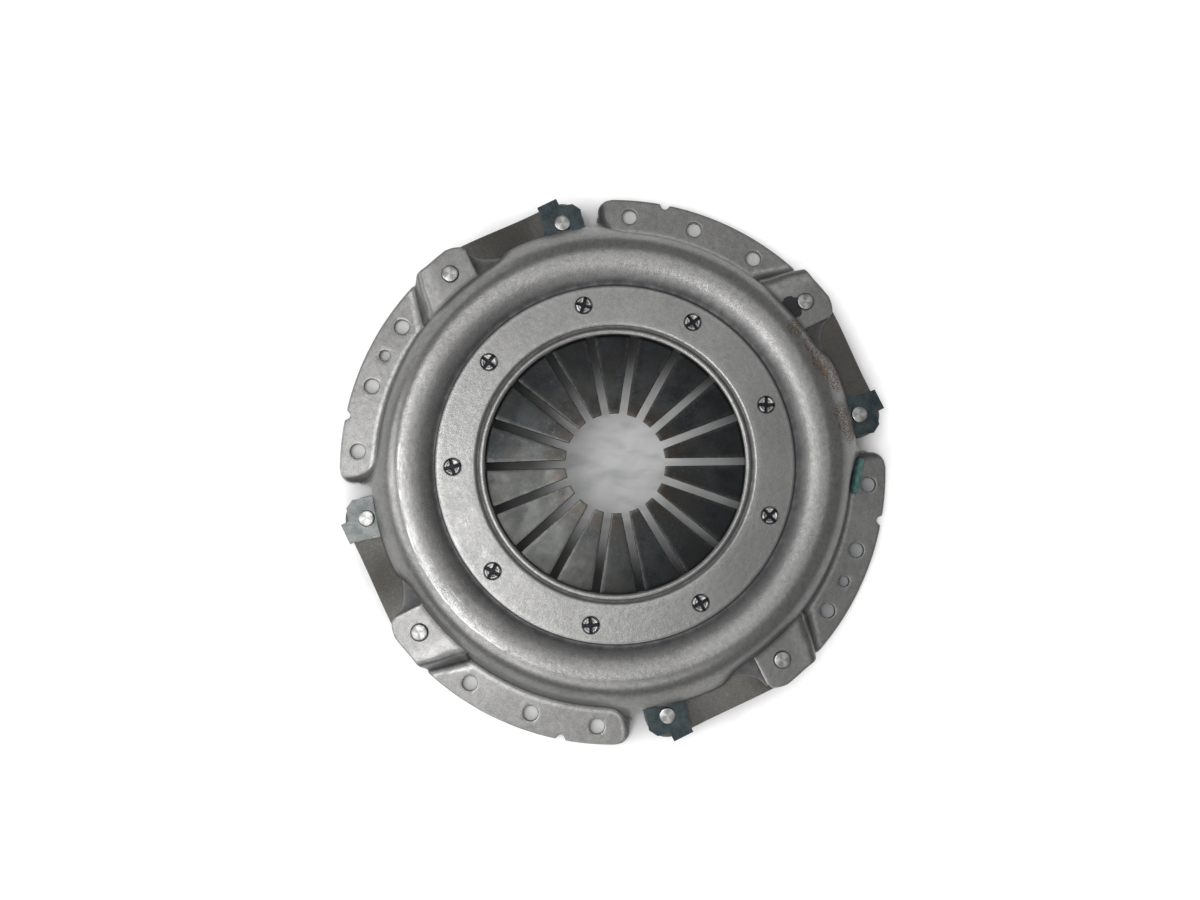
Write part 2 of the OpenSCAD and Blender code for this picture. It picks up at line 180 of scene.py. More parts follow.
def thick_sheet(top, under, faces, edge, lighten=1.0):
    """Closes a sheet from its two faces, which share one list of quads.

    Along every open edge a rim is carried from the upper face to the lower one. It bulges out by
    the edge radius: out = edge sin t and down = edge (1 - cos t) for t to 90 degrees, and the same
    below, turned over. Returns points, faces and a mark of wear and painted highlight, which is set
    to lighten on the rims.
    """
    count = len(top)
    corner = top[faces]
    tilt = np.cross(corner[:, 2] - corner[:, 0], corner[:, 3] - corner[:, 1])
    normal = np.zeros_like(top)
    np.add.at(normal, faces.ravel(), np.repeat(tilt, 4, axis=0))
    normal = unit(normal)
    start = faces.ravel()
    end = np.roll(faces, -1, axis=1).ravel()
    open_edge = ~np.isin(start * count + end, end * count + start)
    start, end = start[open_edge], end[open_edge]
    side = np.cross(unit(top[end] - top[start]), normal[start])
    out = np.zeros_like(top)
    np.add.at(out, start, side)
    np.add.at(out, end, side)
    rim = np.unique(start)
    place = np.full(count, -1)
    place[rim] = np.arange(len(rim))
    out = unit(out[rim])
    down = unit(under[rim] - top[rim])
    e = np.broadcast_to(edge, (count,))[rim][:, None]
    rows = [top[rim] + e * (math.sin(t) * out + (1 - math.cos(t)) * down)
            for t in np.radians((30, 60, 90))]
    rows += [under[rim] + e * (math.sin(t) * out - (1 - math.cos(t)) * down)
             for t in np.radians((90, 60, 30))]
    points = np.concatenate([top, under] + rows)
    strips = [2 * count + k * len(rim) for k in range(6)]
    a = [start, *(k + place[start] for k in strips), start + count]
    b = [end, *(k + place[end] for k in strips), end + count]
    rims = [np.stack([a[k], a[k + 1], b[k + 1], b[k]], 1) for k in range(7)]
    wear_and_highlight = np.zeros(len(points))
    lighten = np.broadcast_to(lighten, (count,))[rim]
    wear_and_highlight[rim] = 0.6 * lighten
    wear_and_highlight[2 * count:2 * count + 2 * len(rim)] = np.tile(lighten, 2)
    return points, np.concatenate([faces, faces[:, ::-1] + count] + rims), wear_and_highlight


def only_used(points, faces, *marks):
    """Leaves out the points that no face has."""
    used = np.unique(faces)
    place = np.full(len(points), -1)
    place[used] = np.arange(len(used))
    return (points[used], place[faces], *(m[used] for m in marks))


def turned_profile(profile, steps, centre=(0.0, 0.0)):
    """A profile of (r, z) turned about an upright axis. It starts on the axis at the top and
    ends on it below."""
    angle = np.arange(steps) * 360.0 / steps
    body = profile[1:-1]
    grid = round_about(body[:, :1], angle[None, :], body[:, 1:])
    rows = len(body)
    points = np.concatenate([grid.reshape(-1, 3), [[0, 0, profile[0, 1]], [0, 0, profile[-1, 1]]]])
    faces = grid_faces(rows, steps, True)
    j = np.arange(steps)
    k = (j + 1) % steps
    first, last = rows * steps, rows * steps + 1
    high = np.stack([np.full(steps, first), j, k], 1)
    low = np.stack([np.full(steps, last), (rows - 1) * steps + k, (rows - 1) * steps + j], 1)
    points = points + [centre[0], centre[1], 0.0]
    return points, faces.tolist() + high.tolist() + low.tolist()


# Materials

class Finish:
    """A material being made: each call adds a node and gives back its output."""

    def __init__(self, name):
        self.material = bpy.data.materials.new(name)
        self.material.use_nodes = True
        self.tree = self.material.node_tree
        self.tree.nodes.clear()
        self.place = self.node("TexCoord").outputs["Object"]

    def node(self, kind, inputs=(), **settings):
        """Adds a node with plain settings, and inputs that are joined or set by put."""
        made = self.tree.nodes.new("ShaderNode" + kind)
        for key, value in settings.items():
            setattr(made, key, value)
        for key, value in dict(inputs).items():
            self.put(value, made.inputs[key])
        return made

    def put(self, value, socket):
        """Joins a node's output to a socket, or sets the socket to a plain value."""
        if isinstance(value, bpy.types.NodeSocket):
            self.tree.links.new(value, socket)
        elif value is not None:
            socket.default_value = (*value, 1.0) if isinstance(value, tuple) and len(value) == 3 \
                and socket.type == "RGBA" else value

    def math(self, operation, *values):
        return self.node("Math", enumerate(values), operation=operation).outputs[0]

    def times(self, *values):
        return reduce(lambda a, b: self.math("MULTIPLY", a, b), values)

    def plus(self, *values):
        return reduce(lambda a, b: self.math("ADD", a, b), values)

    def minus(self, a, b):
        return self.math("SUBTRACT", a, b)

    def most(self, *values):
        return reduce(lambda a, b: self.math("MAXIMUM", a, b), values)

    def length(self, a, b):
        return self.math("SQRT", self.plus(self.times(a, a), self.times(b, b)))

    def mark(self, name):
        return self.node("Attribute", attribute_name=name).outputs["Fac"]

    def span(self, value, low, high, to_low=0.0, to_high=1.0, smooth=True):
        """Carries a value from one span to another, held at both ends."""
        return self.node("MapRange", enumerate((value, low, high, to_low, to_high)),
                         interpolation_type="SMOOTHSTEP" if smooth else "LINEAR").outputs[0]

    def noise(self, size, detail=3.0, rough=0.5, stretch=None, shift=(0, 0, 0), turn=0.0,
              place=None):
        """Noise whose grains are about size millimetres across."""
        place = place or self.place
        if turn:
            spin = {"Vector": place, "Rotation": (0, 0, math.radians(turn))}
            place = self.node("Mapping", spin).outputs[0]
        if stretch or any(shift):
            move = {"Vector": place, "Scale": stretch or (1, 1, 1), "Location": shift}
            place = self.node("Mapping", move).outputs[0]
        grain = {"Vector": place, "Scale": 1.0 / (size * METRES), "Detail": detail,
                 "Roughness": rough}
        return self.node("TexNoise", grain).outputs["Fac"]

    def mix(self, share, low, high):
        """Low where the share is 0, high where it is 1."""
        return self.node("Mix", {0: share, 6: low, 7: high}, data_type="RGBA").outputs[2]

    def coat(self, paint, *masks):
        """Lays a paint over the colour so far, by the product of the masks."""
        self.colour = self.mix(self.times(*masks), self.colour, paint)

    def bumps(self, *pairs):
        """Raises the surface where each height goes from 0 to 1, by its depth in millimetres."""
        normal = None
        for height, depth in pairs:
            made = {"Distance": depth * METRES, "Height": height, "Normal": normal}
            normal = self.node("Bump", made).outputs[0]
        return normal

    def parts(self):
        """The height of the place, and its distance and angle round the axis, in metres."""
        x, y, z = self.node("SeparateXYZ", {0: self.place}).outputs
        return z, self.length(x, y), self.math("ARCTAN2", y, x)

    def away(self, point):
        """Distance in metres from a point in millimetres."""
        point = tuple(c * METRES for c in point)
        return self.node("VectorMath", {0: self.place, 1: point}, operation="DISTANCE").outputs[1]

    def near(self, points, radius):
        """1 at the nearest of some points in millimetres, falling to 0 at radius."""
        least = reduce(lambda a, b: self.math("MINIMUM", a, b), map(self.away, points))
        return self.span(least, 0.0, radius * METRES, 1.0, 0.0)

    def from_centre(self, far, angle, r, first, count):
        """How far a place lies along, outward and in all from the nearest of count centres,
        evenly spaced on a circle of radius r from the angle first."""
        step = 2 * math.pi / count
        turn = self.math("DIVIDE", self.minus(angle, math.radians(first)), step)
        along = self.times(self.minus(turn, self.math("ROUND", turn)), step, far)
        out = self.minus(far, r * METRES)
        return along, out, self.length(along, out)

    def ring_round(self, far, angle, centres, inner, outer):
        """1 on a ring round each of the centres, given as for from_centre."""
        gap = self.from_centre(far, angle, *centres)[2]
        soft = 0.35 * METRES
        return self.times(self.span(gap, inner * METRES - soft, inner * METRES + soft),
                          self.span(gap, outer * METRES - soft, outer * METRES + soft, 1.0, 0.0))

    def surface(self, roughness, normal=None, metallic=1.0):
        skin = {"Base Color": self.colour, "Roughness": roughness, "Normal": normal,
                "Metallic": metallic}
        self.node("OutputMaterial", {0: self.node("BsdfPrincipled", skin).outputs[0]})
        return self.material


def pressed_steel():
    """Bare satin pressed steel: fine grain, soft drawing marks, scratches with a painted glint on
    the lit side, painted highlights on the lit crown, edges paler by wear and painted highlight,
    painted shade on the side away from the light and in the grooves, rust specks and a dark stain
    beside one pad."""
    f = Finish("pressed steel")
    z, far, angle = f.parts()
    cloud = f.noise(38.0, 4.0, 0.6)
    mottle = f.noise(3.2, 4.0, 0.65)
    grain = f.noise(0.55, 2.0, 0.7)
    shade = f.plus(f.times(cloud, 0.25), f.times(mottle, 0.25), f.times(grain, 0.50))
    f.colour = f.mix(f.span(shade, 0.39, 0.61), (0.142, 0.141, 0.138), (0.232, 0.230, 0.225))
    # the flat ring was scuffed a little paler
    land = f.times(f.span(far, 0.0774, 0.0780), f.span(far, 0.0985, 0.0992, 1.0, 0.0))
    f.coat((0.24, 0.24, 0.237), land, 0.30)
    # painted shade: the side away from the light is a little darker
    away_side_shade = f.near([(14, -112, 40), (-30, -100, 40), (60, -92, 40)], 78.0)
    f.coat((0.105, 0.105, 0.104), away_side_shade, 0.45)
    # fine scratches, which run round the cover where it was slid about, and painted highlight: pale
    # patches and a thin bright streak on the lit side of the crown
    sweep = f.node("CombineXYZ", {0: f.times(angle, 0.11), 1: far}).outputs[0]
    crest = f.near([(-42, 109, 46), (-80, 86, 46), (-98, 62, 46), (-108, 40, 46)], 23.0)
    beside = f.near([(-58, 67, 42), (-70, 52, 42)], 17.0)
    lit = f.most(crest, beside)
    patchy = f.span(f.noise(7.0, 4.0, 0.65, stretch=(0.35, 1.0, 1.0), place=sweep), 0.46, 0.68)
    fleck = f.span(f.noise(0.9, 2.0, 0.6), 0.50, 0.72)
    highlight_patch = f.times(lit, patchy, f.plus(f.times(fleck, 0.7), 0.25))
    f.coat((0.46, 0.455, 0.43), highlight_patch)
    hair = f.noise(0.75, 2.0, 0.5, stretch=(0.035, 1.0, 1.0), place=sweep)
    hair2 = f.noise(0.8, 2.0, 0.5, stretch=(1.0, 0.05, 1.0), turn=24.0)
    scratch_and_glint = f.most(f.times(f.span(hair, 0.68, 0.74), 0.9),
                     f.times(f.span(hair2, 0.735, 0.76), 0.5))
    # painted glint: the scratches show brighter on the lit side
    scratch_and_glint = f.times(scratch_and_glint, f.plus(f.times(lit, 0.80), 0.12))
    # painted highlight: a thin bright streak along the crest, broken in places
    wave = f.noise(30.0, 2.0, 0.5, stretch=(1.0, 0.0, 1.0), place=sweep)
    off = f.minus(far, f.plus(0.1172, f.times(wave, 0.0036)))
    highlight_streak = f.span(f.math("ABSOLUTE", off), 0.0001, 0.0008, 1.0, 0.0)
    broken = f.noise(3.0, 3.0, 0.6, stretch=(0.3, 1.0, 1.0), place=sweep, shift=(0.2, 0.0, 0.0))
    highlight_streak = f.times(highlight_streak, f.span(crest, 0.10, 0.45), f.span(broken, 0.40, 0.60))
    scratch_and_glint = f.most(scratch_and_glint, f.times(highlight_streak, 0.85))
    f.coat((0.50, 0.50, 0.485), scratch_and_glint)
    # edges paler, part wear and part painted highlight, with the noise keeping them broken
    wear_and_highlight = f.times(f.mark("wear_and_highlight"), f.span(f.noise(2.4, 3.0), 0.30, 0.62, 0.35, 1.0))
    f.coat((0.42, 0.42, 0.41), wear_and_highlight)
    # painted shade in the grooves, in the creases, under the pads' front edges, along the foot of
    # the wall and round the rivet heads
    painted_dark = f.times(f.mark("painted_shade"), f.span(f.noise(5.0, 3.0), 0.2, 0.7, 0.6, 1.0))
    heads = f.times(f.ring_round(far, angle, RING_CENTRES, 4.5, 5.05), f.span(z, 0.0410, 0.0420))
    pads = f.times(f.ring_round(far, angle, PAD_CENTRES, 4.5, 5.1), f.span(z, 0.0270, 0.0275))
    painted_dark = f.most(painted_dark, heads, pads)
    f.coat((0.036, 0.036, 0.040), painted_dark)
    # rust specks in two loose groups on the outer side of the crown
    group = f.most(f.near([(89, -96, 40), (92, -91, 42), (85, -101, 38)], 11.5),
                   f.near([(63, -115, 40), (60, -118, 37), (67, -112, 41)], 10.5),
                   f.times(f.near([(104, -71, 44), (98, -82, 42)], 9.0), 0.7))
    speck = f.span(f.noise(1.15, 2.0, 0.6, stretch=(2.2, 0.8, 1.0), place=sweep), 0.50, 0.54)
    halo = f.span(f.noise(4.0, 3.0, 0.6), 0.46, 0.62)
    rust = f.times(f.span(group, 0.05, 0.35), speck)
    f.coat((0.128, 0.088, 0.044), f.span(group, 0.15, 0.7), halo, 0.85)
    f.coat((0.055, 0.030, 0.016), rust)
    # the dark stain at the wall beside one pad rivet
    spots = [(117.5, -66.5, 28), (119.5, -63.8, 28), (115.7, -69.5, 28), (120, -68.5, 28)]
    ragged = f.times(f.minus(f.noise(3.0, 3.0, 0.6), 0.5), 0.7)
    stain = f.plus(f.near(spots, 6.5), ragged)
    stain = f.span(stain, 0.38, 0.46)
    f.coat((0.014, 0.015, 0.017), stain)
    dull = f.most(painted_dark, rust, stain)
    rough = f.plus(f.span(shade, 0.3, 0.7, 0.37, 0.29), f.times(dull, 0.25))
    rough = f.minus(rough, f.times(wear_and_highlight, 0.08))
    metal = f.span(dull, 0.0, 1.0, 1.0, 0.25, smooth=False)
    normal = f.bumps((grain, 0.035), (mottle, 0.10), (scratch_and_glint, -0.03))
    return f.surface(rough, normal, metal)


def spring_steel():
    """Blackened spring steel, blue-grey, turning brown at the tips, with scuffed spots, painted
    shade on the outer part of the fingers and painted light on the fingers of one side.
    """
    f = Finish("spring steel")
    far = f.parts()[1]
    cloud = f.noise(11.0, 4.0, 0.6)
    fine = f.noise(0.8, 3.0, 0.7)
    f.colour = f.mix(f.span(cloud, 0.35, 0.65), (0.024, 0.027, 0.029), (0.048, 0.053, 0.055))
    f.coat((0.085, 0.086, 0.084), f.span(fine, 0.45, 0.7), 0.4)
    olive = f.span(f.noise(24.0, 2.0, 0.5, shift=(0.4, 0.0, 0.1)), 0.42, 0.60)
    f.coat((0.042, 0.041, 0.036), olive, 0.6)
    # painted shade on the outer part of the fingers, towards the cover's lip
    f.coat((0.012, 0.013, 0.015), f.span(far, 0.042, 0.068), 0.50)
    # painted light: the fingers of one side are paler, unevenly
    lit_fingers = f.near([(-50, 22, 40), (-34, 44, 40), (-58, 2, 40)], 42.0)
    thin = f.span(f.noise(16.0, 3.0, 0.6, shift=(0.3, 0.2, 0.0)), 0.35, 0.62, 0.35, 0.85)
    f.coat((0.088, 0.088, 0.081), lit_fingers, thin)
    tip = f.span(far, 0.027, 0.046, 1.0, 0.0)
    brown = f.times(tip, f.span(f.noise(3.5, 4.0, 0.7), 0.40, 0.62))
    f.coat((0.066, 0.048, 0.036), brown, 0.70)
    # scuffed spots on the inner fingers, and edges paler by wear and painted highlight
    lighten = f.times(f.span(f.noise(1.3, 2.0, 0.6, shift=(0.2, 0.5, 0.0)), 0.66, 0.72),
                  f.span(far, 0.030, 0.060, 1.0, 0.15))
    wear_and_highlight = f.most(f.times(lighten, 0.28),
                  f.times(f.mark("wear_and_highlight"), f.span(f.noise(2.0, 3.0), 0.35, 0.65, 0.15, 0.55)))
    f.coat((0.30, 0.295, 0.285), wear_and_highlight)
    rough = f.span(cloud, 0.3, 0.7, 0.40, 0.30)
    return f.surface(rough, f.bumps((fine, 0.03), (cloud, 0.10)))


def phosphated(name, low, high, edge, rough, cloud_size=7.0):
    """Dark treated sheet: a cloud of two shades, fine grain, and edges scuffed pale in places."""
    f = Finish(name)
    cloud = f.noise(cloud_size, 4.0, 0.6)
    fine = f.noise(0.7, 3.0, 0.7)
    f.colour = f.mix(f.span(cloud, 0.35, 0.65), low, high)
    f.coat(edge, f.span(fine, 0.50, 0.72), 0.35)
    bevel = f.node("Bevel", {"Radius": 0.5 * METRES}, samples=6)
    flat = f.node("NewGeometry").outputs["Normal"]
    turn = f.node("VectorMath", {0: bevel.outputs[0], 1: flat}, operation="DOT_PRODUCT")
    wear_and_highlight = f.times(f.span(turn.outputs["Value"], 0.90, 0.995, 1.0, 0.0),
                   f.span(f.noise(1.6, 3.0), 0.40, 0.60, 0.1, 0.8))
    f.coat(edge, wear_and_highlight)
    normal = f.bumps((fine, 0.03), (cloud, 0.08))
    return f.surface(f.span(fine, 0.3, 0.7, rough + 0.05, rough - 0.05), normal)


def cast_iron():
    """Cast iron: sandy skin, with the friction face turned bright in fine rings."""
    f = Finish("cast iron")
    z = f.parts()[0]
    sand = f.noise(1.1, 4.0, 0.7)
    cloud = f.noise(16.0, 3.0, 0.6)
    f.colour = f.mix(f.span(cloud, 0.3, 0.7), (0.115, 0.114, 0.112), (0.185, 0.182, 0.178))
    f.coat((0.26, 0.255, 0.25), f.span(sand, 0.5, 0.7), 0.35)
    face = f.span(z, 0.00502, 0.00510, 1.0, 0.0)
    lines = {"Vector": f.place, "Scale": 900.0, "Distortion": 0.6}
    ring = f.node("TexWave", lines, wave_type="RINGS", rings_direction="Z").outputs["Fac"]
    f.coat(f.mix(ring, (0.33, 0.33, 0.325), (0.46, 0.455, 0.45)), face)
    height = f.mix(face, sand, ring)
    rough = f.span(face, 0.0, 1.0, 0.62, 0.33, smooth=False)
    return f.surface(rough, f.bumps((height, 0.06)))


def rivet_steel(name, low, high, centres, around):
    """Bright rivet steel: a fan of painted highlight about the middle of each head, like a turned
    finish, fine turned rings as bumps, painted shade at the rim, and the painted shade and painted
    highlight of the marks.
    """
    f = Finish(name)
    far, angle = f.parts()[1:]
    along, out, gap = f.from_centre(far, angle, *centres)
    # painted highlight: a fan of light and dark round the middle of each head
    spoke = f.math("ARCTAN2", along, out)
    cloud = f.noise(2.2, 3.0, 0.6)
    wobble = f.plus(f.times(spoke, 3.0), f.times(cloud, 4.0))
    fan = f.plus(f.times(f.math("SINE", wobble), 0.30), 0.5)
    shade = f.plus(f.times(fan, 0.5), f.times(cloud, 0.5))
    f.colour = f.mix(f.span(shade, 0.30, 0.70), low, high)
    # painted shade round the rim of each head
    edge = f.span(gap, (around - 0.45) * METRES, around * METRES)
    f.coat((0.06, 0.06, 0.065), edge, 0.75)
    # painted highlight on the formed ends' ridges and painted shade in their arms and pit, from the
    # marks
    f.coat(high, f.mark("wear_and_highlight"), f.span(cloud, 0.3, 0.6, 0.55, 1.0))
    f.coat((0.016, 0.016, 0.020), f.mark("painted_shade"))
    lines = f.math("SINE", f.times(gap, 2 * math.pi / (0.45 * METRES)))
    normal = f.bumps((lines, 0.008), (cloud, 0.05))
    return f.surface(f.span(cloud, 0.3, 0.7, 0.40, 0.27), normal)


def balance_paint():
    """Dull blue-green paint, chipped to a darker ground at its edges."""
    f = Finish("blue-green paint")
    cloud = f.noise(2.6, 4.0, 0.65)
    f.colour = f.mix(f.span(cloud, 0.35, 0.65), (0.030, 0.105, 0.105), (0.085, 0.190, 0.180))
    chip = f.times(f.span(f.noise(1.3, 3.0, 0.6), 0.52, 0.60), f.mark("wear_and_highlight"))
    f.coat((0.02, 0.03, 0.03), chip)
    return f.surface(f.span(cloud, 0.3, 0.7, 0.55, 0.42), f.bumps((cloud, 0.12)), 0.0)


STEEL = pressed_steel()
SPRING = spring_steel()
CLIP = phosphated("dark clip steel", (0.028, 0.038, 0.042), (0.050, 0.063, 0.068),
                  (0.15, 0.165, 0.17), 0.40)
PALE_CLIP = phosphated("paler clip steel", (0.085, 0.094, 0.094), (0.135, 0.143, 0.140),
                       (0.24, 0.25, 0.25), 0.40)
STRAP = phosphated("strap steel", (0.074, 0.072, 0.066), (0.094, 0.091, 0.084),
                   (0.19, 0.186, 0.175), 0.48, cloud_size=22.0)
WIRE = phosphated("ring wire", (0.09, 0.09, 0.09), (0.15, 0.15, 0.145), (0.3, 0.3, 0.3), 0.4)
IRON = cast_iron()
RING_RIVET = rivet_steel("ring rivet steel", (0.075, 0.075, 0.076), (0.40, 0.40, 0.39),
                         RING_CENTRES, 4.8)
LUG_RIVET = rivet_steel("lug rivet steel", (0.20, 0.20, 0.20), (0.37, 0.37, 0.36),
                        LUG_CENTRES, 4.7)
PAD_RIVET = rivet_steel("pad rivet steel", (0.19, 0.19, 0.19), (0.36, 0.36, 0.355),
                        PAD_CENTRES, 4.7)
PAINT = balance_paint()


# The pressed cover

EDGE, HOLE_EDGE, LIP_EDGE = 0.8, 0.4, 1.4
# widths of the flange's band of holes, in 12 rows, and of the rim outside it, in 3 rows
HOLE_BAND, RIM_BAND = 13.0, 2.7


def dome_lines():
    """Half a section of the dome, outer and inner line, as (r, z) with a row for a row.

    From the lip: two small steps down to its groove and up to the flat ring, a step down
    at the ring's edge, an arc of an ellipse up to the crown, steep at its foot, and a quarter
    of an ellipse down to the wall. The inner line is one sheet thickness below or inside."""
    crown_w, crown_rise = WALL_R - CROWN_R, CROWN_H - SHOULDER_H
    lip = [(OPENING_R + LIP_EDGE, 42.15), (73.7, 42.2), (74.5, 42.15), (74.85, 41.95),
           (75.1, 41.6), (76.2, 41.55), (76.65, 41.75), (76.95, 42.15), (77.3, 42.42)]
    ring = [(r, RING_H) for r in (78.4, 81.5, 85.0, 88.5, 92.0, 95.5, 97.8)]
    step = [(98.75, 42.47), (99.15, 42.3), (99.35, 41.8), (99.6, 41.4), (100.1, GROOVE_FLOOR)]
    away, reach = CROWN_R - RISE_START, CROWN_R - RING_R
    depth = (CROWN_H - GROOVE_FLOOR) / (1 - math.sqrt(1 - (away / reach) ** 2))
    x = away * (1 - np.linspace(0.0, 1.0, 17))
    rise = np.stack([CROWN_R - x, CROWN_H - depth * (1 - np.sqrt(1 - (x / reach) ** 2))], 1)
    bow_rows = 12
    a = np.radians(np.linspace(7.5, 90.0, bow_rows))
    bow = np.stack([CROWN_R + crown_w * np.sin(a), SHOULDER_H + crown_rise * np.cos(a)], 1)
    outer = np.concatenate([lip, ring, step, rise, bow])
    r = outer[:, 0]
    under_ring = RING_UNDER + LIP_THIN * np.clip(1 - (r - OPENING_R) / LIP_THIN_W, 0, 1)
    under_rise = np.where(r > 100.5, outer[:, 1] - SHEET, under_ring)
    inner = np.stack([r, under_rise], 1)
    inner[-bow_rows:] = np.stack([CROWN_R + (crown_w - SHEET) * np.sin(a),
                                  SHOULDER_H + (crown_rise - SHEET) * np.cos(a)], 1)
    # painted shade in the lip's groove and down the step to the foot of the rise; painted highlight
    # lines on the lip, beside the groove, at the ring's edge and on the crown
    painted_shade = np.interp(r, [74.7, 75.1, 76.4, 77.0, 98.9, 99.5, 101.8, 103.2, 105.5, 108.5],
                      [0, 0.9, 0.8, 0, 0, 0.95, 0.95, 0.7, 0.28, 0])
    painted_highlight = np.interp(r, [73.0, 73.6, 74.4, 74.8, 76.9, 77.4, 78.6, 97.2, 97.9, 98.8, 99.3,
                           107.0, 112.0, 125.0, 129.0],
                       [0.05, 0.1, 0.35, 0, 0, 0.25, 0, 0, 0.2, 0.35, 0, 0, 0.12, 0.25, 0])
    return outer, inner, painted_shade, painted_highlight


def pad_lines():
    """The pad, its ramp and the flange as seen from the end: height of the outer and of the
    inner face for a distance u from the rivet. Level, an arc over, straight down, an arc
    back and level again."""
    half = math.tan(math.radians(RAMP_SLOPE / 2))
    run = (PAD_H - SHEET) / math.tan(math.radians(RAMP_SLOPE))
    top_c = (PAD_LEVEL, PAD_H - PAD_ROUND)
    foot_c = (PAD_LEVEL + (PAD_ROUND + RAMP_FOOT) * half + run, SHEET + RAMP_FOOT)
    outer = np.concatenate([[[-60, PAD_H]], arc(top_c, PAD_ROUND, 90, 90 - RAMP_SLOPE, 16),
                            arc(foot_c, RAMP_FOOT, 270 - RAMP_SLOPE, 270, 12), [[90, SHEET]]])
    inner = np.concatenate([[[-60, PAD_UNDER]],
                            [[PAD_LEVEL - 2.2, PAD_UNDER]],
                            arc(foot_c, RAMP_FOOT + SHEET, 270 - RAMP_SLOPE, 270, 16), [[90, 0.0]]])
    return outer, inner


def front_angle(r):
    """Where a pad's straight front edge is on a circle of radius r, from its segment's middle."""
    return 75.65 - np.degrees(np.arccos(22.25 / r)) - STRAP_ANGLE


def cover_surface():
    """The pressed cover: a grid of rows from the lip outward and columns round the axis.

    Rows: the dome, then the wall, which leans out a little to its foot at the base height, a
    quarter round of the bend radius, and the shelf out to the edge. The base height is the
    pad line at the distance along the strap, so flange, ramp and pad are one surface.
    Columns near the ends of a segment lean to follow its cut edge, and those of a ramp
    follow the ramp. Round each hole the square grid is drawn into circles, which makes the
    hole's edge a true ring of points."""
    first = float(front_angle(WALL_R))
    # where the columns change their spacing: the pad's corner, both sides of the ramp, and
    # the sides of the outer holes and of the dowel hole
    pad_corner, ramp_first, ramp_last = -33.85, -26.6, -20.4
    lead_start, lead_end, dowel_start, trail_end = -17.6, -12.4, -9.7, 17.6
    segment = in_steps((first, pad_corner, 4), (pad_corner, ramp_first, 7),
                       (ramp_first, ramp_last, 20), (ramp_last, lead_start, 6),
                       (lead_start, lead_end, 12), (lead_end, dowel_start, 3),
                       (dowel_start, -5.3, 8), (-5.3, -2.6, 3), (-2.6, 2.6, 12), (2.6, 5.2, 3),
                       (5.2, 6.4, 3), (6.4, 8.8, 10), (8.8, 12.4, 4), (12.4, trail_end, 12),
                       (trail_end, FLANGE_HALF, 11))
    gap = in_steps((FLANGE_HALF, 26.3, 10), (26.3, 43.0, 8), (43.0, first + 90.0, 10))
    nominal = np.concatenate([segment, gap])
    cells, last = len(nominal), len(segment)
    wall_cells, bend_cells, draw_cells = 7, 5, 4
    column = {name: int(np.argmin(abs(nominal - a)))
              for name, a in (("lead", -BOLT_PITCH), ("dowel", DOWEL_ANGLE), ("middle", 0.0),
                              ("trail", BOLT_PITCH))}

    rivet_away = STRAP_R * math.cos(math.radians(RAMP_TURN))

    def along_strap(r, angle):
        """Distance from the pad's rivet, measured square to the ramp."""
        return r * np.cos(np.radians(angle + STRAP_ANGLE - RAMP_TURN)) - rivet_away

    def on_line(r, u):
        """The angle at which a circle of radius r crosses the line at distance u."""
        return RAMP_TURN - STRAP_ANGLE - np.degrees(np.arccos((u + rivet_away) / r))

    def end_angle(r):
        """The cut end of the flange: it leans out of the wall in an S, runs straight and
        turns the outer corner in an arc."""
        past = np.clip(r - (FLANGE_R - EDGE - END_ROUND), 0, END_ROUND)
        corner = END_ROUND - np.sqrt(END_ROUND ** 2 - past ** 2)
        return FLANGE_HALF + 0.8 + 0.6 * (1 - ease((r - 143.0) / 5.0)) \
            - np.degrees((corner + EDGE) / r)

    line_u = along_strap(BOLT_R, nominal)
    ramp_u = along_strap(BOLT_R, np.array([ramp_first, ramp_last]))

    def lean(r):
        """The true angles of the columns at radius r, which may differ from column to column."""
        r = r + 0.0 * nominal
        end, front = end_angle(r), front_angle(r)
        left, right = on_line(r, ramp_u[0]), on_line(r, ramp_u[1])
        clear = np.maximum(lead_start, right + 0.6)
        knots = [(first, front), (pad_corner, pad_corner), (ramp_first, left),
                 (ramp_last, right), (lead_start, clear), (dowel_start, dowel_start),
                 (trail_end, trail_end), (FLANGE_HALF, end), (first + 90.0, front + 90.0)]
        a = nominal
        for (n0, a0), (n1, a1) in zip(knots, knots[1:]):
            inside = (nominal >= n0) & (nominal <= n1)
            a = np.where(inside, a0 + (nominal - n0) / (n1 - n0) * (a1 - a0), a)
        return np.where((nominal > ramp_first) & (nominal < ramp_last),
                        on_line(r, np.clip(line_u, *ramp_u)), a)

    outer_line, inner_line = pad_lines()

    def on_ramp(r, u):
        """Where on the pad line a point at distance u lies: the ramp widens to the wall."""
        level = PAD_LEVEL - np.interp(r, [139.0, 147.0, 158.0], [4.8, 2.6, 1.8])
        squeeze = (RAMP_END - PAD_LEVEL) / (RAMP_END - level)
        return np.where(u > RAMP_END, u, RAMP_END - (RAMP_END - u) * squeeze)

    def past_fold(r, angle):
        """How far a point of the flange's free end lies past the fold of its turned-up border.
        The fold runs beside the wall, turns in an arc and goes straight out to the edge."""
        inward, across = r - FOLD_R, np.radians(FOLD_ANGLE - angle) * r
        turning = (inward < FOLD_ROUND) & (across < FOLD_ROUND)
        rounded = FOLD_ROUND - np.hypot(FOLD_ROUND - inward, FOLD_ROUND - across)
        gap = np.where(turning, rounded, np.minimum(inward, across))
        return np.clip(-gap, 0, 5.5) * (angle > 8.0)

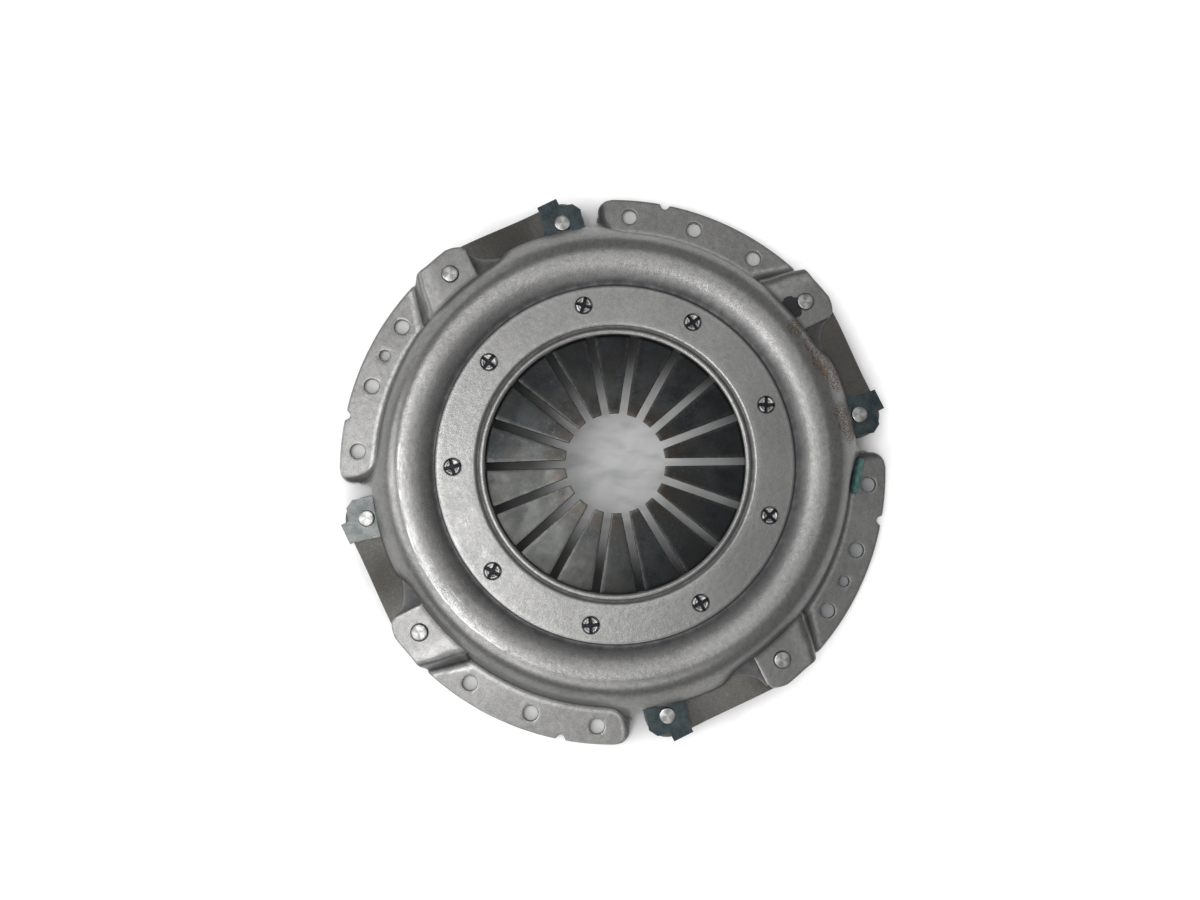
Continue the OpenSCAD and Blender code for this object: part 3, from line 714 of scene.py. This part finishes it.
    def base(r, angle):
        """Heights of the outer and inner face: the pad line, and the border that rises from
        the fold in an arc of 4 mm and then straight, lower towards the edge."""
        u = on_ramp(r, along_strap(r, angle))
        x = past_fold(r, angle)
        rising = 4.0 - np.sqrt(16.0 - np.minimum(x, 3.4) ** 2)
        border = np.where(x < 3.4, rising, 1.9 + 1.6 * (x - 3.4))
        border = border * (1 - 0.75 * ease((r - 146.0) / 12.0))
        return np.interp(u, *outer_line.T) + border, np.interp(u, *inner_line.T) + border

    # the outline: flange with its notch, the ramp drawing in, the pad and its corner
    away = FLANGE_R * np.radians(nominal - NOTCH_ANGLE)
    outline = FLANGE_R - EDGE - np.sqrt(np.maximum(NOTCH ** 2 - away ** 2, 0)) * 0.92
    pad_short = FLANGE_R - PAD_R - 0.8 * ease((nominal + 27.0) / 4.0)
    outline = outline - pad_short * ease((-20.3 - nominal) / 1.9)
    corner = np.interp(nominal, [first, -35.4, -34.4, -33.6, -32.8, -32.7],
                       [149.0, 151.7, 154.0, 155.2, 155.6, FLANGE_R]) - EDGE
    outline = np.minimum(outline, corner)

    # how far the wall is drawn in above a segment, and flares out beside the flange's end
    drawn = 1 - ease((nominal - 13.0) / 11.0) + ease((nominal - 43.8) / 7.0)
    near_end = np.radians(nominal - FLANGE_HALF) * WALL_R
    flare = FLARE * bell(near_end, 0.0, 4.6)
    wall_r = WALL_R - DRAW_IN * drawn

    def wall_out(z):
        """How far the wall has moved outward at height z."""
        down = np.clip((SHOULDER_H - z) / (SHOULDER_H - FOOT_H), 0, 1)
        return WALL_LEAN * drawn * down + flare * down

    # the base height at the wall sets how tight the bend is, and where the foot lies
    foot_r = wall_r + WALL_LEAN
    for _ in range(8):
        wall_angles = lean(foot_r)
        foot_top, foot_under = base(foot_r, wall_angles)
        bend = np.clip((SHOULDER_H - foot_top) * 0.9, 0.7, FOOT_BEND)
        foot_r = wall_r + wall_out(foot_top + bend) + bend

    # the open edge of the wall over the lug, with a round corner at the flange
    open_low = WINDOW_H + EDGE
    low = foot_top + bend
    s = np.clip((nominal - FLANGE_HALF) / 3.2, 0, 1)
    corner_z = open_low - (open_low - low[last - 1]) * (1 - (1 - (1 - s) ** 1.6) ** (1 / 1.6))
    near_pad = ease((nominal - 51.5) / 2.0)
    low = np.where(nominal >= FLANGE_HALF, corner_z + near_pad * (SHOULDER_H - 0.5 - corner_z), low)

    grid = []

    def add_row(r, z, ri, zi, angle, painted_dark, lighten=0.0):
        """A row of the grid: outer and inner points, painted shade and painted highlight."""
        grid.append([round_about(r, angle, z), round_about(ri, angle, zi),
                     np.broadcast_to(painted_dark, cells), np.broadcast_to(lighten, cells)])

    # painted shade grows down the outer side of the crown, more where the wall is drawn in
    for (r, z), (ri, zi), painted_dark, lighten in zip(*dome_lines()):
        bow = max((r - CROWN_R) / (WALL_R - CROWN_R), 0.0)
        bow_in = max((ri - CROWN_R) / (WALL_R - SHEET - CROWN_R), 0.0)
        skirt = (1 - drawn) * ((CROWN_H - z) / (CROWN_H - SHOULDER_H)) ** 2 * (bow > 0)
        add_row(r - DRAW_IN * (bow - skirt), z, ri - (DRAW_IN - WALL_THIN) * bow_in * drawn, zi,
                wall_angles, painted_dark + ease((bow - 0.50) / 0.50) * (0.10 + 0.38 * drawn), lighten)
    first_bend = len(grid) + wall_cells - 1
    thin = WALL_THIN * drawn
    on_segment = nominal < FLANGE_HALF
    # painted shade on the wall, more where it is drawn in and lower down over a segment
    for k in range(1, wall_cells + 1):
        z = SHOULDER_H + (low - SHOULDER_H) * k / wall_cells
        r = wall_r + wall_out(z)
        add_row(r, z, r - SHEET + thin, z, wall_angles,
                0.10 + 0.38 * drawn + 0.15 * ease((SHOULDER_H - z) / 20.0) * on_segment)
    extra = foot_top - foot_under - SHEET
    tight = bend < 1.5
    # painted shade in the bend, darkest next to the wall, more where the bend is tight
    for k in range(1, bend_cells + 1):
        t = math.pi / 2 * k / bend_cells
        add_row(foot_r - bend * math.cos(t), foot_top + bend * (1 - math.sin(t)),
                foot_r - (bend + SHEET - thin) * math.cos(t),
                foot_top + bend - (bend + SHEET) * math.sin(t) - extra * math.sin(t) ** 2,
                wall_angles, np.where(tight, 0.9, 0.62) * (1 - 0.55 * k / bend_cells))
    start = np.maximum(WALL_R + BEND, foot_r + 1.0)
    radii = [foot_r + k / draw_cells * (start - foot_r) for k in range(1, draw_cells + 1)]
    shelf_steps = np.append(np.arange(1, 13) / 12 * HOLE_BAND,
                            HOLE_BAND + np.arange(1, 4) / 3 * RIM_BAND)
    radii += [start + step / shelf_steps[-1] * (outline - start) for step in shelf_steps]
    # painted shade in the ramp's crease, in the hollow inside the fold and at the wall's foot;
    # painted highlight lines on the flange's border by the ramp, at the pad's edge and beside the
    # wall's foot
    for r in radii:
        a = lean(r)
        z, zi = base(r, a)
        u, x, beside = on_ramp(r, along_strap(r, a)), past_fold(r, a), r - foot_r
        by_ramp = nominal < lead_end
        crease = 0.95 * bell(u, 22.6, np.where(u < 22.6, 3.0, 1.4)) * by_ramp
        corner_shade = 0.9 * np.where(tight, ease(1 - beside / 1.2), 0.3 * ease(1 - beside / 0.8))
        line = 0.75 * bell(u, 26.2, 0.7) * by_ramp
        foot_line = 0.55 * bell(beside, 1.3, 0.8) * ~tight * on_segment
        add_row(r, z, r, zi, a, np.max([crease, 0.85 * bell(x, 3.0, 1.9), corner_shade], 0),
                np.max([line, 0.30 * bell(u, 15.5, 2.2), foot_line], 0))
    top, under, painted_shade, painted_highlight = (np.array(part) for part in zip(*grid))
    rows = len(grid)
    shelf = first_bend + bend_cells + draw_cells

    # four quarters side by side
    top, under = (np.concatenate(quarter_turns(face), 1) for face in (top, under))
    painted_shade, painted_highlight = np.tile(painted_shade, (1, 4)), np.tile(painted_highlight, (1, 4))
    edge = np.full((rows, 4 * cells), EDGE)
    edge[0] = LIP_EDGE
    keep = np.ones((rows - 1, 4 * cells), bool)
    local = np.arange(4 * cells) % cells
    keep[first_bend:, :] &= (local < last)[None, :]

    def pierce(quarter, name, radius, half, inner_half):
        """Draws a square block of the grid into rings round a hole and leaves out its middle.

        On the ring m cells from the middle a point lies between its square place and a
        circle of radius hole + (m - inner), all circle at the hole and all square at the
        block's edge."""
        c0 = quarter * cells + column[name]
        r0 = shelf + 6  # the row on the bolt circle
        i, j = np.meshgrid(np.arange(-half, half + 1), np.arange(-half, half + 1), indexing="ij")
        m = np.maximum(abs(i), abs(j))
        step_r = HOLE_BAND / 12
        step_a = math.radians(nominal[column[name] + 1] - nominal[column[name]]) * BOLT_R
        way = unit(np.stack([i * step_r, j * step_a], -1) + 1e-9)
        size = radius + HOLE_EDGE + (m - inner_half) * (step_r + step_a) / 2
        share = np.clip((half - m) / (half - inner_half), 0, 1)[..., None]
        a = math.radians(quarter * 90 + nominal[column[name]])
        turn = np.array([[math.cos(a), math.sin(a)], [-math.sin(a), math.cos(a)]])
        ring = (way * size[..., None] + [BOLT_R, 0]) @ turn
        block = (slice(r0 - half, r0 + half + 1), slice(c0 - half, c0 + half + 1))
        for face in (top, under):
            flat = face[block][..., :2]
            face[block][..., :2] = np.where(m[..., None] >= inner_half,
                                            flat + share * (ring - flat), flat)
        edge[block] = np.where(m <= inner_half, HOLE_EDGE, edge[block])
        keep[r0 - inner_half:r0 + inner_half, c0 - inner_half:c0 + inner_half] = False

    for quarter in range(4):
        for name in ("lead", "middle", "trail"):
            pierce(quarter, name, BOLT_HOLE, 6, 4)
        if quarter % 2:
            pierce(quarter, "dowel", DOWEL_HOLE, 4, 3)
    faces = grid_faces(rows, 4 * cells, True).reshape(rows - 1, 4 * cells, 4)[keep]
    top, faces_used, under, edge, painted_shade, painted_highlight = only_used(
        top.reshape(-1, 3), faces, under.reshape(-1, 3), edge.ravel(), painted_shade.ravel(),
        painted_highlight.ravel())
    # the rims are lightened, wear and painted highlight, least at the holes
    lighten = np.where(edge == HOLE_EDGE, 0.12, np.where(edge == LIP_EDGE, 0.25, 0.40))
    points, faces, wear_and_highlight = thick_sheet(top, under, faces_used, edge, lighten)
    n = len(top)
    wear_and_highlight[:n] = np.maximum(wear_and_highlight[:n], painted_highlight)
    painted_dark = np.zeros(len(points))
    painted_dark[:n] = painted_shade
    return points, faces, {"wear_and_highlight": wear_and_highlight, "painted_shade": painted_dark}


cover = make_piece("pressed_cover", STEEL, "cover", *cover_surface())
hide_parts("cover")


def pad_webs():
    """The hollow webs under the front edges of the pads, where the sheet turns down to the
    wall: from a pad's front edge a web reaches back w = 18 exp(-(r - 134.5) / 5.5) mm, falling
    by a power curve from just below the pad to the strap."""
    r = np.linspace(129.5, 149.6, 22)[:, None]
    t = np.linspace(0, 1, 10)[None, :]
    wide = np.minimum(18.0 * np.exp(-(r - 134.5) / 5.5), 20.0)
    angle = front_angle(r) + 0.5 - np.degrees((wide + 1.0) * t / r)
    z = 27.4 - 2.6 * (1 - (1 - t) ** 2.4) + 0 * r
    one = round_about(r, angle, z)[:, ::-1].reshape(-1, 3)
    top = np.concatenate(quarter_turns(one))
    faces = np.concatenate([grid_faces(22, 10, False) + q * len(one) for q in range(4)])
    points, faces, wear_and_highlight = thick_sheet(top, top - [0, 0, 1.0], faces, 0.3, 0.25)
    # painted shade over the web, darkest just below the pad
    painted_dark = np.zeros(len(points))
    painted_dark[:len(top)] = np.tile(np.broadcast_to(0.95 - 0.35 * t ** 2, (22, 10))[:, ::-1].ravel(), 4)
    return points, faces, {"wear_and_highlight": wear_and_highlight, "painted_shade": painted_dark}


webs = make_piece("pad_webs", STEEL, "cover", *pad_webs())


# The diaphragm spring

def spring_surface():
    """The slotted spring: eighteen fingers on one rim, each a grid of rows from tip to rim.

    The height of the middle face falls from the tips outward on a cone of 7.5 degrees to
    r 88 and one of 12.5 degrees beyond. A finger's sides lie one half slot from the line
    between two fingers; the half width grows in two quarter rounds to the eye and goes to
    nothing past it, where neighbours join."""
    r = np.concatenate([np.linspace(TIP_R + 0.4, 80, 22), [82.0, 83.5, 84.1, 84.7, 85.6, 86.9],
                        [88.0, 89.7, 91.2, 92.5, 93.7, 94.5, 95.1, 95.5, 95.9, 97, 100, 104,
                         108, 112, 116, 119, RIM_R - 0.4]])
    start = np.clip((r - EYE_IN) / EYE_ROUND, 0, 1)
    stop = np.clip((r - (EYE_OUT - EYE_ROUND)) / EYE_ROUND, 0, 1)
    half = np.where(r < EYE_IN, SLOT_HALF,
                    EYE_HALF - EYE_ROUND * (1 - np.sqrt(1 - (1 - start) ** 2))
                    - EYE_ROUND * (1 - np.sqrt(1 - stop ** 2)))
    half = np.where(r > EYE_OUT + 0.2, 0.0, half + 0.35)
    width = 180.0 / FINGERS - np.degrees(np.arcsin(np.clip(half / r, 0, 1)))
    z = FULCRUM_Z + (FULCRUM_R - np.maximum(r, FINGER_BEND_R)) * math.tan(math.radians(CONE)) \
        + np.maximum(0, FINGER_BEND_R - r) * math.tan(math.radians(FINGER_CONE))
    across = np.linspace(-1, 1, 9)
    middles = np.arange(FINGERS) * 360.0 / FINGERS
    angle = middles[:, None, None] + width[None, :, None] * across[None, None, :]
    flat = round_about(r[None, :, None], angle, z[None, :, None])
    rows, columns = len(r), len(across)
    one = grid_faces(rows, columns, False)
    faces = (one[None] + (np.arange(FINGERS) * rows * columns)[:, None, None]).reshape(-1, 4)
    # neighbours share the points of the rim
    points, same = np.unique(np.round(flat.reshape(-1, 3), 4), axis=0, return_inverse=True)
    faces = same.ravel()[faces]
    up = [0, 0, SPRING_HALF]
    points, faces, wear_and_highlight = thick_sheet(points + up, points - up, faces, 0.35, 0.35)
    return points, faces, {"wear_and_highlight": wear_and_highlight}


spring = make_piece("slotted_spring", SPRING, "cover", *spring_surface())
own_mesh(spring)
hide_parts("diaphragm_spring")


# The rivets

def crimp(x, y):
    """The formed end of a ring rivet at (x, y) millimetres from its middle: its height over a flat
    disc, its painted shade and its painted highlight.

    Four petals lie between the arms of a cross that widens into a pit. With d the distance
    to the nearer arm, a petal rises by the eased step of d. It carries a crescent ridge near
    the rim and a short wedge nearer the pit, each a bell curve of the distance r."""
    r = np.hypot(x, y)
    d = np.minimum(abs(x), abs(y))
    petal = ease((d - 0.42 - 0.06 * r) / 0.5) * ease((r - 1.2) / 0.8)
    crescent = bell(r, 3.55, 0.36) * ease((d - 0.65) / 0.4)
    skew = np.clip(np.sign(x * y) * (abs(x) - abs(y)), -1, 1)
    wedge = bell(d, 0.95, 0.28) * ease((r - 1.5) / 0.6) * (0.5 + 0.5 * skew)
    height = -0.80 + 0.45 * petal + 0.30 * crescent + 0.15 * wedge
    dark = 1.0 - 0.80 * petal - 0.4 * crescent + 0.9 * ease((r - 4.0) / 0.25)
    dark = np.clip(dark, 0, 1) * (r < 4.78)
    bright = np.clip(crescent + 0.8 * wedge, 0, 1)
    return height, dark, bright


rivet_line = np.array(
    [(0, RING_H + 1.1)] + [(r, RING_H + 1.1) for r in np.arange(0.3, 4.3, 0.27)]
    + [(4.40, RING_H + 1.04), (4.62, RING_H + 0.86), (4.74, RING_H + 0.6), (4.80, RING_H + 0.3),
       (4.80, RING_H + 0.02), (3.0, RING_H + 0.02), (3.0, RING_UNDER), (4.0, RING_UNDER - 0.01),
       (4.0, 26.85), (7.6, 26.82), (8.0, 26.5), (8.0, 24.8), (7.6, 24.43), (0, 24.43)])
for i, turn in enumerate(RIVET_TURNS, 1):
    turn = math.radians(turn)
    points, faces = turned_profile(rivet_line, 72)
    x = points[:, 0] * math.cos(turn) + points[:, 1] * math.sin(turn)
    y = points[:, 1] * math.cos(turn) - points[:, 0] * math.sin(turn)
    # dark is painted shade in the cross's arms, the pit and at the rim; bright is painted highlight
    # on the petals' ridges
    height, dark, bright = crimp(x, y)
    formed = (points[:, 2] > RING_H + 1.0) * 1.0
    points[:, 2] += height * formed
    points[:, :2] += polar(RIVET_R, -90 + i * 360 / RIVETS)
    rivet = make_piece(f"crimped_rivet_{i}", RING_RIVET, "cover", points, faces,
                       {"painted_shade": dark * formed, "wear_and_highlight": bright * formed}, sharp=60)
    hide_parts(f"fulcrum_rivet_{i}")


def strap_rivet_line(low, high):
    """A rivet through the straps: slightly domed round ends with turned-over edges."""
    top = [(0, high), (1.6, high - 0.01), (3.4, high - 0.05), (4.2, high - 0.11),
           (4.5, high - 0.26), (4.65, high - 0.50), (4.7, high - 0.80), (4.7, high - 1.18),
           (3.5, high - 1.2)]
    return np.array(top + [(r, low + high - z) for r, z in top[::-1]])


for i in range(1, 5):
    for kind, base, low, high, finish, body in (
            ("lug_rivet", STRAP_ANGLE + (i - 1) * 90, 6.5, 20.9, LUG_RIVET, "pressure_plate"),
            ("cover_strap_rivet", -STRAP_ANGLE + i * 90, 19.6, 29.2, PAD_RIVET, "cover")):
        shape = turned_profile(strap_rivet_line(low, high), 40, polar(STRAP_R, base))
        rivet = make_piece(f"{kind}_shaped_{i}", finish, body, *shape, sharp=60)
        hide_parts(f"{kind}_{i}")


# The balance marker

def bar_between(start, end, wide, thick, rounding):
    """A bar laid from start to end. Its section is a square raised to a power: with t round
    the section, across = wide/2 sgn(cos t) |cos t|^0.35 and up = thick/2 sgn(sin t)
    |sin t|^0.35, and it shrinks towards each end by a quarter round."""
    start, end = np.array(start), np.array(end)
    length = np.linalg.norm(end - start)
    ahead = (end - start) / length
    side = unit(np.cross([0.45, -0.9, 1.0], ahead))
    up = np.cross(ahead, side)
    s = np.concatenate([[0], rounding * (1 - np.cos(np.radians([30, 60, 90]))),
                        np.linspace(rounding, length - rounding, 14)[1:-1],
                        length - rounding * (1 - np.cos(np.radians([90, 60, 30]))), [length]])
    gap = np.clip(np.minimum(s, length - s) / rounding, 0, 1)
    draw = 1 - (1 - np.sqrt(1 - (1 - gap) ** 2)) * 0.30
    steps, power = 24, 0.35
    t = np.radians(np.arange(steps) * 360.0 / steps)
    across = wide / 2 * np.sign(np.cos(t)) * abs(np.cos(t)) ** power
    high = thick / 2 * np.sign(np.sin(t)) * abs(np.sin(t)) ** power
    rows = (start + s[:, None] * ahead)[:, None, :] \
        + draw[:, None, None] * (across[:, None] * side + high[:, None] * up)[None]
    points = np.concatenate([rows.reshape(-1, 3), [start], [end]])
    faces = grid_faces(len(s), steps, True)[:, ::-1]
    j = np.arange(steps)
    k = (j + 1) % steps
    count = len(s) * steps
    last = count - steps
    caps = np.stack([np.full(steps, count), k, j], 1).tolist() \
        + np.stack([np.full(steps, count + 1), last + j, last + k], 1).tolist()
    corners, ends = np.tile(abs(np.cos(2 * t)) < 0.5, len(s)), np.repeat(gap < 0.5, steps)
    wear_and_highlight = np.clip(corners * 0.8 + ends * 0.7, 0, 1)
    return points, faces.tolist() + caps, {"wear_and_highlight": np.append(wear_and_highlight, [0.5, 0.5])}


bar = bar_between((50.4, -133.0, 10.6), (30.6, -135.6, 8.6), 5.2, 3.0, 1.0)
marker = make_piece("balance_marker", PAINT, "cover", *bar, sharp=40)


# Solids that keep their shape

def give(node, finish):
    """Gives a solid its finish."""
    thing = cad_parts[node]
    for slot in thing.material_slots:
        slot.material = finish
    return thing


def round_edges(thing, width, segments, angle):
    """Joins a solid's faces into one skin and rounds its edges by width millimetres."""
    weld = thing.modifiers.new("one skin", "WELD")
    weld.merge_threshold = 1e-6
    bevel = thing.modifiers.new("round edges", "BEVEL")
    bevel.width = width * METRES
    bevel.segments = segments
    bevel.limit_method = "ANGLE"
    bevel.angle_limit = math.radians(angle)
    return bevel


def soften(node, finish, width):
    """Gives a solid its finish, and rounds its edges."""
    round_edges(give(node, finish), width, 2, 35.0).harden_normals = True


soften("pressure_plate", IRON, 0.4)
give("fulcrum_ring_upper", WIRE)
give("fulcrum_ring_lower", WIRE)
for i in range(1, 5):
    soften(f"retracting_clip_{i}", PALE_CLIP if i == 2 else CLIP, 0.3)


def leaf_from_solid(node):
    """A strap leaf taken from its solid, joined into one skin, with rounded edges."""
    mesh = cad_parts[node].data.copy()
    leaf = placed(f"bending_{node}", mesh)
    mesh.materials.clear()
    mesh.materials.append(STRAP)
    round_edges(leaf, 0.15, 1, 50.0)
    bpy.context.view_layer.update()
    rounded = leaf.evaluated_get(bpy.context.evaluated_depsgraph_get())
    done = bpy.data.meshes.new_from_object(rounded)
    leaf.modifiers.clear()
    leaf.data = done
    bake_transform(leaf)
    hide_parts(node)


for i in range(1, 5):
    for layer in ("lower", "middle", "upper"):
        leaf_from_solid(f"drive_strap_{i}_{layer}")


# The floor, the lamps and the camera

TABLE_HALF = 6000.0
LAMP_FAR, ROOM = 1.6, 0.41  # metres, and the strength of the room's own light


def pale_floor():
    """A pale table that takes shadows. Outside the part it is lifted to white, for the eye and for
    what the metal mirrors; under the part it is not lifted, and carries a painted shadow."""
    f = Finish("pale table")
    far = f.parts()[1]
    cloth = f.noise(26.0, 2.0, 0.5, stretch=(1.0, 2.2, 1.0), turn=20.0)
    smear = f.noise(9.0, 2.0, 0.5, stretch=(0.40, 1.0, 1.0), turn=71.5)
    shade = f.mix(f.span(cloth, 0.3, 0.7), (0.80, 0.80, 0.795), (0.72, 0.725, 0.725))
    # painted shadow: the table is darker under the spring and the plate
    mark = f.times(f.span(f.away((6, -17, -0.3)), 0.044, 0.070),
                   f.span(far, 0.130, 0.141, 1.0, 0.0))
    streaks = f.times(f.span(smear, 0.40, 0.75), f.span(far, 0.050, 0.030, 0.0, 0.70))
    shade = f.mix(streaks, shade, (0.50, 0.505, 0.515))
    # painted shadow on the table under the bolt holes of one segment
    holes = f.near([(0, -148, 0), (38, -143, 0), (-38, -143, 0), (-20, -147, 0)], 8.0)
    shade = f.mix(f.span(holes, 0.0, 0.2, 0.0, 0.8), shade, (0.18, 0.19, 0.20))
    matt = f.node("BsdfDiffuse", {0: f.mix(mark, shade, (0.26, 0.26, 0.265))})
    rays = f.node("LightPath")
    seen = f.most(rays.outputs["Is Camera Ray"], rays.outputs["Is Glossy Ray"])
    strength = f.times(seen, f.span(far, 0.144, 0.172, 0.0, 0.55))
    glow = f.node("Emission", {"Strength": strength})
    both = f.node("AddShader", {0: matt.outputs[0], 1: glow.outputs[0]})
    f.node("OutputMaterial", {0: both.outputs[0]})
    return f.material


corners = [(x * TABLE_HALF, y * TABLE_HALF, -0.3) for x, y in ((-1, -1), (1, -1), (1, 1), (-1, 1))]
floor = make_piece("table", pale_floor(), None, corners, [(0, 1, 2, 3)])


def lamp(name, turn, height, size, power):
    """A round soft lamp at an angle round the cover and a height in degrees, aimed at it."""
    light = bpy.data.lights.new(name, "AREA")
    light.shape = "DISK"
    light.size = size
    light.energy = power
    h = math.radians(height)
    way = np.append(polar(math.cos(h), turn), math.sin(h))
    side = unit(np.cross([0, 0, 1.0], way))
    placed(name, light, np.stack([side, np.cross(way, side), way], 1), way * LAMP_FAR)


# name, angle round the cover, height, size in metres and power in watts
for row in (("window at the left, low", 108.7, 32.0, 1.0, 6.0),
            ("window at the left", 153.7, 50.0, 1.0, 5.0),
            ("front", 198.7, 50.0, 1.0, 2.95),
            ("left of overhead", 98.7, 72.0, 0.45, 2.8),
            ("overhead", 18.7, 80.0, 1.0, 2.1),
            ("back, low", 63.7, 12.0, 1.0, 2.0),
            ("near overhead", 138.7, 78.0, 0.40, 3.0)):
    lamp(*row)


def plain_room():
    """A dim even room that the eye sees as white."""
    world = bpy.data.worlds.new("plain room")
    bpy.context.scene.world = world
    world.use_nodes = True
    tree = world.node_tree
    sky = tree.nodes["Background"]
    rays = tree.nodes.new("ShaderNodeLightPath")
    level = tree.nodes.new("ShaderNodeMapRange")
    level.inputs["To Min"].default_value = ROOM
    level.inputs["To Max"].default_value = 1.0
    tree.links.new(rays.outputs["Is Camera Ray"], level.inputs["Value"])
    tree.links.new(level.outputs[0], sky.inputs["Strength"])
    sky.inputs["Color"].default_value = (1.0, 1.0, 1.0, 1.0)


plain_room()


def look_from_photograph():
    """The camera: turn the frame by 71.5 degrees, roll, pitch and yaw it a little, and step
    back 811 mm. The focal length is 1395 widths of a pixel on a picture 1200 wide."""
    def about(axis, degrees):
        return np.array(Matrix.Rotation(math.radians(degrees), 3, axis))
    turn = about("X", -4.598) @ about("Y", 0.972) @ about("Z", -0.177) @ about("Z", 71.5)
    step = np.array([7.786, -10.702, -811.1])
    eye = bpy.data.cameras.new("eye")
    eye.sensor_width = 36.0
    eye.lens = 1394.9 / 1200 * 36.0
    bpy.context.scene.camera = placed("eye", eye, turn.T, -turn.T @ step * METRES)


look_from_photograph()
bpy.context.scene.view_settings.view_transform = "Standard"

bpy.context.view_layer.update()
